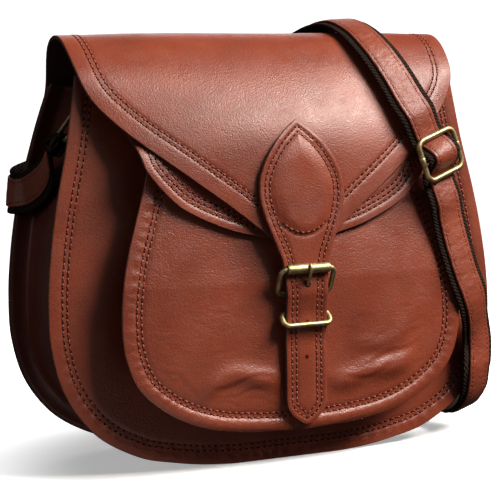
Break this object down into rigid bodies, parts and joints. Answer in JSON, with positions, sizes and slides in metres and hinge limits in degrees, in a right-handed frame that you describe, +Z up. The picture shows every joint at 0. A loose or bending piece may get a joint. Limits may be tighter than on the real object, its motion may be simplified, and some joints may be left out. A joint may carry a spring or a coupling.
{
  "type": "crossbody saddle bag",
  "caption": "Leather saddle bag with a front pocket, a pointed flap held by a roller buckle, and a webbing shoulder strap faced with leather",
  "frame": {"origin": "on the floor under the middle of the whole bag with its strap", "axes": "+X to the right seen from the buckle's side, +Y towards the wearer's side, +Z up"},
  "size_m": [0.282, 0.1528, 0.255],
  "materials": {
    "leather": "smooth chestnut leather with a fine grain",
    "dark_leather": "dark brown smooth leather",
    "webbing": "dark brown cotton webbing",
    "brass": "antique brass, softly worn"
  },
  "bodies": {
    "root": {"front_panel": "leather", "back_panel": "leather", "gusset": "dark_leather", "pocket_front": "leather", "pocket_gusset": "dark_leather", "pocket_flap": "leather", "main_flap": "leather", "closure_strap": "leather", "buckle_frame": "brass", "buckle_roller": "brass", "buckle_prong": "brass", "keeper_loop": "brass", "buckle_chape": "leather", "strap_webbing": "webbing", "strap_leather": "leather", "slider_frame": "brass", "ring_right": "brass", "ring_left": "brass", "ring_tab_right": "leather", "ring_tab_left": "leather"}
  },
  "joints": []
}
